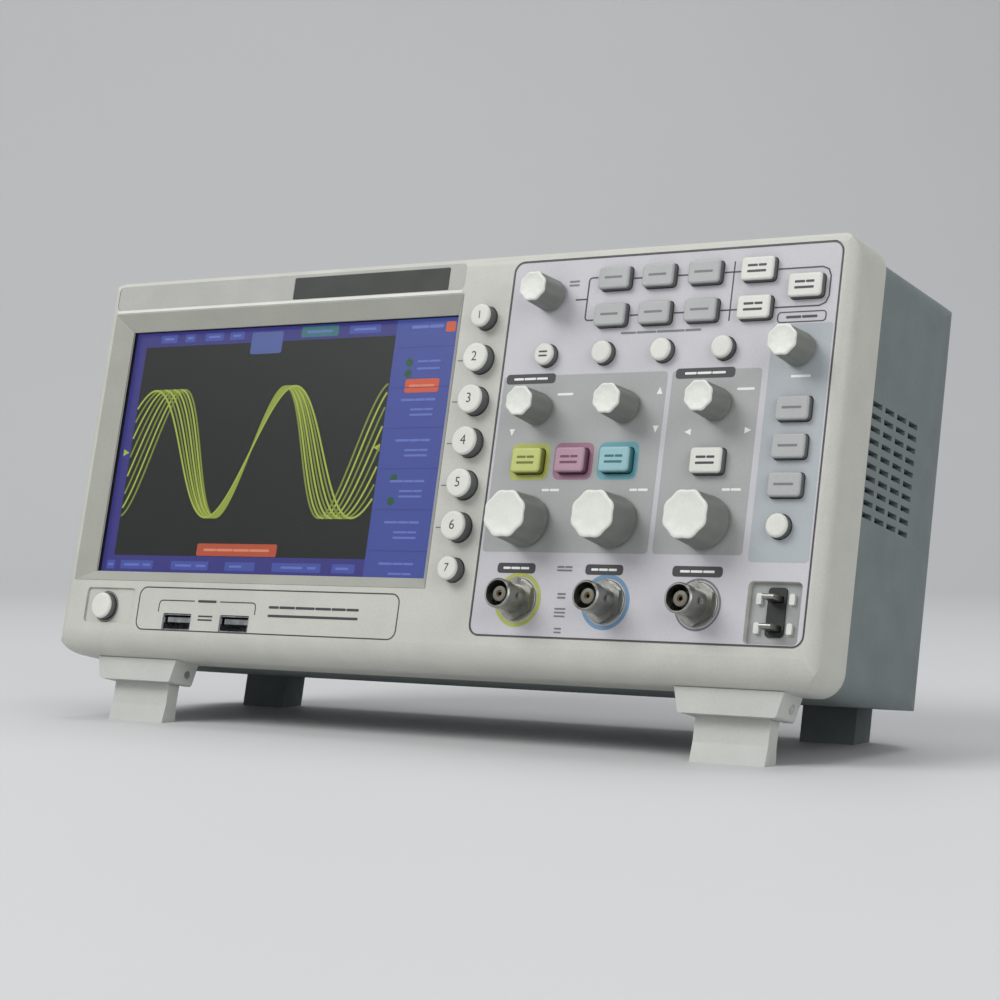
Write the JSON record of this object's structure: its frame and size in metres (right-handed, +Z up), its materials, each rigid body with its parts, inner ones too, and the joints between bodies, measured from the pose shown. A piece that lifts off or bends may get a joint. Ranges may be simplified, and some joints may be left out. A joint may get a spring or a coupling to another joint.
{
  "type": "oscilloscope",
  "caption": "Bench digital oscilloscope: wide screen with soft keys, knob and key panel, BNC inputs, folding front legs and a carrying handle.",
  "frame": {"origin": "on the floor, under the middle of the instrument's outer box, with both front legs open", "axes": "+X to the right as seen from the front, +Y from the front panel towards the rear, +Z up"},
  "size_m": [0.313, 0.1248, 0.1621],
  "materials": {
    "bezel_plastic": "warm light grey, fine moulded texture",
    "housing_plastic": "dark blue-green grey, coarse moulded texture",
    "overlay_print": "lilac grey printed film",
    "nameplate_film": "very dark printed film",
    "screen_glass": "clear polished window",
    "display": "colour display, lit",
    "sheet_steel": "zinc plated sheet",
    "circuit_board": "green solder mask",
    "black_plastic": "black moulded plastic",
    "leg_plastic": "light grey moulded plastic",
    "foot_rubber": "dark rubber",
    "handle_plastic": "dark grey moulded plastic",
    "pin_steel": "plain steel",
    "nickel_plate": "nickel plate",
    "socket_steel": "tinned steel",
    "key_plastic": "off-white moulded plastic",
    "grey_key_plastic": "grey moulded plastic",
    "yellow_key_plastic": "translucent yellow-green plastic",
    "pink_key_plastic": "translucent pink plastic",
    "cyan_key_plastic": "translucent cyan plastic",
    "knob_plastic": "light grey moulded plastic"
  },
  "bodies": {
    "case": {"front_bezel": "bezel_plastic", "control_overlay": "overlay_print", "nameplate": "nameplate_film", "screen_window": "screen_glass", "lcd_module": "display", "rear_housing": "housing_plastic", "chassis": "sheet_steel", "main_board": "circuit_board", "keypad_boards": "circuit_board", "power_supply_board": "circuit_board", "fan_frame": "black_plastic", "leg_brackets": "leg_plastic", "rear_feet": "foot_rubber", "hinge_pins": "pin_steel", "bnc_jacks": "nickel_plate", "usb_sockets": "socket_steel", "probe_terminals": "nickel_plate", "power_inlet": "black_plastic", "screws": "pin_steel"},
    "soft_key_1": {"soft_key_1": "key_plastic"},
    "soft_key_2": {"soft_key_2": "key_plastic"},
    "soft_key_3": {"soft_key_3": "key_plastic"},
    "soft_key_4": {"soft_key_4": "key_plastic"},
    "soft_key_5": {"soft_key_5": "key_plastic"},
    "soft_key_6": {"soft_key_6": "key_plastic"},
    "soft_key_7": {"soft_key_7": "key_plastic"},
    "function_key_1": {"function_key_1": "grey_key_plastic"},
    "function_key_2": {"function_key_2": "grey_key_plastic"},
    "function_key_3": {"function_key_3": "grey_key_plastic"},
    "function_key_4": {"function_key_4": "key_plastic"},
    "function_key_5": {"function_key_5": "grey_key_plastic"},
    "function_key_6": {"function_key_6": "grey_key_plastic"},
    "function_key_7": {"function_key_7": "grey_key_plastic"},
    "function_key_8": {"function_key_8": "key_plastic"},
    "run_stop_key": {"run_stop_key": "key_plastic"},
    "round_key_1": {"round_key_1": "key_plastic"},
    "round_key_2": {"round_key_2": "key_plastic"},
    "round_key_3": {"round_key_3": "key_plastic"},
    "round_key_4": {"round_key_4": "key_plastic"},
    "channel_1_menu_key": {"channel_1_menu_key": "yellow_key_plastic"},
    "math_menu_key": {"math_menu_key": "pink_key_plastic"},
    "channel_2_menu_key": {"channel_2_menu_key": "cyan_key_plastic"},
    "horizontal_menu_key": {"horizontal_menu_key": "key_plastic"},
    "trigger_key_1": {"trigger_key_1": "grey_key_plastic"},
    "trigger_key_2": {"trigger_key_2": "grey_key_plastic"},
    "trigger_key_3": {"trigger_key_3": "grey_key_plastic"},
    "force_trigger_key": {"force_trigger_key": "key_plastic"},
    "power_button": {"power_button": "key_plastic"},
    "multipurpose_knob": {"multipurpose_knob": "knob_plastic"},
    "channel_1_position_knob": {"channel_1_position_knob": "knob_plastic"},
    "channel_1_scale_knob": {"channel_1_scale_knob": "knob_plastic"},
    "channel_2_position_knob": {"channel_2_position_knob": "knob_plastic"},
    "channel_2_scale_knob": {"channel_2_scale_knob": "knob_plastic"},
    "horizontal_position_knob": {"horizontal_position_knob": "knob_plastic"},
    "horizontal_scale_knob": {"horizontal_scale_knob": "knob_plastic"},
    "trigger_level_knob": {"trigger_level_knob": "knob_plastic"},
    "left_leg": {"left_leg": "leg_plastic"},
    "right_leg": {"right_leg": "leg_plastic"},
    "carry_handle": {"carry_handle": "handle_plastic"},
    "fan_rotor": {"fan_rotor": "black_plastic"}
  },
  "joints": [
    {"name": "left_leg_fold", "type": "hinge", "parent": "case", "child": "left_leg", "pos_m": [-0.12135, -0.04137, 0.01692], "axis": [1, 0, 0], "range_deg": [0, 90]},
    {"name": "right_leg_fold", "type": "hinge", "parent": "case", "child": "right_leg", "pos_m": [0.12435, -0.04137, 0.01692], "axis": [1, 0, 0], "range_deg": [0, 90]},
    {"name": "carry_handle_lift", "type": "hinge", "parent": "case", "child": "carry_handle", "pos_m": [0, 0.00743, 0.1476], "axis": [1, 0, 0], "range_deg": [0, 90]},
    {"name": "multipurpose_knob_turn", "type": "hinge", "parent": "case", "child": "multipurpose_knob", "pos_m": [0.0464, -0.02752, 0.14714], "axis": [0, -0.9757, 0.219], "continuous": true},
    {"name": "channel_1_position_knob_turn", "type": "hinge", "parent": "case", "child": "channel_1_position_knob", "pos_m": [0.0467, -0.03595, 0.10958], "axis": [0, -0.9757, 0.219], "continuous": true},
    {"name": "channel_1_scale_knob_turn", "type": "hinge", "parent": "case", "child": "channel_1_scale_knob", "pos_m": [0.0475, -0.04416, 0.07299], "axis": [0, -0.9757, 0.219], "continuous": true},
    {"name": "channel_2_position_knob_turn", "type": "hinge", "parent": "case", "child": "channel_2_position_knob", "pos_m": [0.0801, -0.03595, 0.10958], "axis": [0, -0.9757, 0.219], "continuous": true},
    {"name": "channel_2_scale_knob_turn", "type": "hinge", "parent": "case", "child": "channel_2_scale_knob", "pos_m": [0.0809, -0.04416, 0.07299], "axis": [0, -0.9757, 0.219], "continuous": true},
    {"name": "horizontal_position_knob_turn", "type": "hinge", "parent": "case", "child": "horizontal_position_knob", "pos_m": [0.1135, -0.03595, 0.10958], "axis": [0, -0.9757, 0.219], "continuous": true},
    {"name": "horizontal_scale_knob_turn", "type": "hinge", "parent": "case", "child": "horizontal_scale_knob", "pos_m": [0.1143, -0.04416, 0.07299], "axis": [0, -0.9757, 0.219], "continuous": true},
    {"name": "trigger_level_knob_turn", "type": "hinge", "parent": "case", "child": "trigger_level_knob", "pos_m": [0.1405, -0.03229, 0.12587], "axis": [0, -0.9757, 0.219], "continuous": true},
    {"name": "fan_rotor_spin", "type": "hinge", "parent": "case", "child": "fan_rotor", "pos_m": [0.1475, 0.00254, 0.08926], "axis": [1, 0, 0], "continuous": true},
    {"name": "soft_key_1_press", "type": "slide", "parent": "case", "child": "soft_key_1", "axis": [0, 0.9757, -0.219], "range_m": [0, 0.0008], "stiffness_N_per_m": 700, "springref_m": -0.0006},
    {"name": "soft_key_2_press", "type": "slide", "parent": "case", "child": "soft_key_2", "axis": [0, 0.9757, -0.219], "range_m": [0, 0.0008], "stiffness_N_per_m": 700, "springref_m": -0.0006},
    {"name": "soft_key_3_press", "type": "slide", "parent": "case", "child": "soft_key_3", "axis": [0, 0.9757, -0.219], "range_m": [0, 0.0008], "stiffness_N_per_m": 700, "springref_m": -0.0006},
    {"name": "soft_key_4_press", "type": "slide", "parent": "case", "child": "soft_key_4", "axis": [0, 0.9757, -0.219], "range_m": [0, 0.0008], "stiffness_N_per_m": 700, "springref_m": -0.0006},
    {"name": "soft_key_5_press", "type": "slide", "parent": "case", "child": "soft_key_5", "axis": [0, 0.9757, -0.219], "range_m": [0, 0.0008], "stiffness_N_per_m": 700, "springref_m": -0.0006},
    {"name": "soft_key_6_press", "type": "slide", "parent": "case", "child": "soft_key_6", "axis": [0, 0.9757, -0.219], "range_m": [0, 0.0008], "stiffness_N_per_m": 700, "springref_m": -0.0006},
    {"name": "soft_key_7_press", "type": "slide", "parent": "case", "child": "soft_key_7", "axis": [0, 0.9757, -0.219], "range_m": [0, 0.0008], "stiffness_N_per_m": 700, "springref_m": -0.0006},
    {"name": "function_key_1_press", "type": "slide", "parent": "case", "child": "function_key_1", "axis": [0, 0.9757, -0.219], "range_m": [0, 0.0008], "stiffness_N_per_m": 700, "springref_m": -0.0006},
    {"name": "function_key_2_press", "type": "slide", "parent": "case", "child": "function_key_2", "axis": [0, 0.9757, -0.219], "range_m": [0, 0.0008], "stiffness_N_per_m": 700, "springref_m": -0.0006},
    {"name": "function_key_3_press", "type": "slide", "parent": "case", "child": "function_key_3", "axis": [0, 0.9757, -0.219], "range_m": [0, 0.0008], "stiffness_N_per_m": 700, "springref_m": -0.0006},
    {"name": "function_key_4_press", "type": "slide", "parent": "case", "child": "function_key_4", "axis": [0, 0.9757, -0.219], "range_m": [0, 0.0008], "stiffness_N_per_m": 700, "springref_m": -0.0006},
    {"name": "function_key_5_press", "type": "slide", "parent": "case", "child": "function_key_5", "axis": [0, 0.9757, -0.219], "range_m": [0, 0.0008], "stiffness_N_per_m": 700, "springref_m": -0.0006},
    {"name": "function_key_6_press", "type": "slide", "parent": "case", "child": "function_key_6", "axis": [0, 0.9757, -0.219], "range_m": [0, 0.0008], "stiffness_N_per_m": 700, "springref_m": -0.0006},
    {"name": "function_key_7_press", "type": "slide", "parent": "case", "child": "function_key_7", "axis": [0, 0.9757, -0.219], "range_m": [0, 0.0008], "stiffness_N_per_m": 700, "springref_m": -0.0006},
    {"name": "function_key_8_press", "type": "slide", "parent": "case", "child": "function_key_8", "axis": [0, 0.9757, -0.219], "range_m": [0, 0.0008], "stiffness_N_per_m": 700, "springref_m": -0.0006},
    {"name": "run_stop_key_press", "type": "slide", "parent": "case", "child": "run_stop_key", "axis": [0, 0.9757, -0.219], "range_m": [0, 0.0008], "stiffness_N_per_m": 700, "springref_m": -0.0006},
    {"name": "round_key_1_press", "type": "slide", "parent": "case", "child": "round_key_1", "axis": [0, 0.9757, -0.219], "range_m": [0, 0.0008], "stiffness_N_per_m": 700, "springref_m": -0.0006},
    {"name": "round_key_2_press", "type": "slide", "parent": "case", "child": "round_key_2", "axis": [0, 0.9757, -0.219], "range_m": [0, 0.0008], "stiffness_N_per_m": 700, "springref_m": -0.0006},
    {"name": "round_key_3_press", "type": "slide", "parent": "case", "child": "round_key_3", "axis": [0, 0.9757, -0.219], "range_m": [0, 0.0008], "stiffness_N_per_m": 700, "springref_m": -0.0006},
    {"name": "round_key_4_press", "type": "slide", "parent": "case", "child": "round_key_4", "axis": [0, 0.9757, -0.219], "range_m": [0, 0.0008], "stiffness_N_per_m": 700, "springref_m": -0.0006},
    {"name": "channel_1_menu_key_press", "type": "slide", "parent": "case", "child": "channel_1_menu_key", "axis": [0, 0.9757, -0.219], "range_m": [0, 0.0008], "stiffness_N_per_m": 700, "springref_m": -0.0006},
    {"name": "math_menu_key_press", "type": "slide", "parent": "case", "child": "math_menu_key", "axis": [0, 0.9757, -0.219], "range_m": [0, 0.0008], "stiffness_N_per_m": 700, "springref_m": -0.0006},
    {"name": "channel_2_menu_key_press", "type": "slide", "parent": "case", "child": "channel_2_menu_key", "axis": [0, 0.9757, -0.219], "range_m": [0, 0.0008], "stiffness_N_per_m": 700, "springref_m": -0.0006},
    {"name": "horizontal_menu_key_press", "type": "slide", "parent": "case", "child": "horizontal_menu_key", "axis": [0, 0.9757, -0.219], "range_m": [0, 0.0008], "stiffness_N_per_m": 700, "springref_m": -0.0006},
    {"name": "trigger_key_1_press", "type": "slide", "parent": "case", "child": "trigger_key_1", "axis": [0, 0.9757, -0.219], "range_m": [0, 0.0008], "stiffness_N_per_m": 700, "springref_m": -0.0006},
    {"name": "trigger_key_2_press", "type": "slide", "parent": "case", "child": "trigger_key_2", "axis": [0, 0.9757, -0.219], "range_m": [0, 0.0008], "stiffness_N_per_m": 700, "springref_m": -0.0006},
    {"name": "trigger_key_3_press", "type": "slide", "parent": "case", "child": "trigger_key_3", "axis": [0, 0.9757, -0.219], "range_m": [0, 0.0008], "stiffness_N_per_m": 700, "springref_m": -0.0006},
    {"name": "force_trigger_key_press", "type": "slide", "parent": "case", "child": "force_trigger_key", "axis": [0, 0.9757, -0.219], "range_m": [0, 0.0008], "stiffness_N_per_m": 700, "springref_m": -0.0006},
    {"name": "power_button_press", "type": "slide", "parent": "case", "child": "power_button", "axis": [0, 0.9757, -0.219], "range_m": [0, 0.0008], "stiffness_N_per_m": 700, "springref_m": -0.0006}
  ]
}
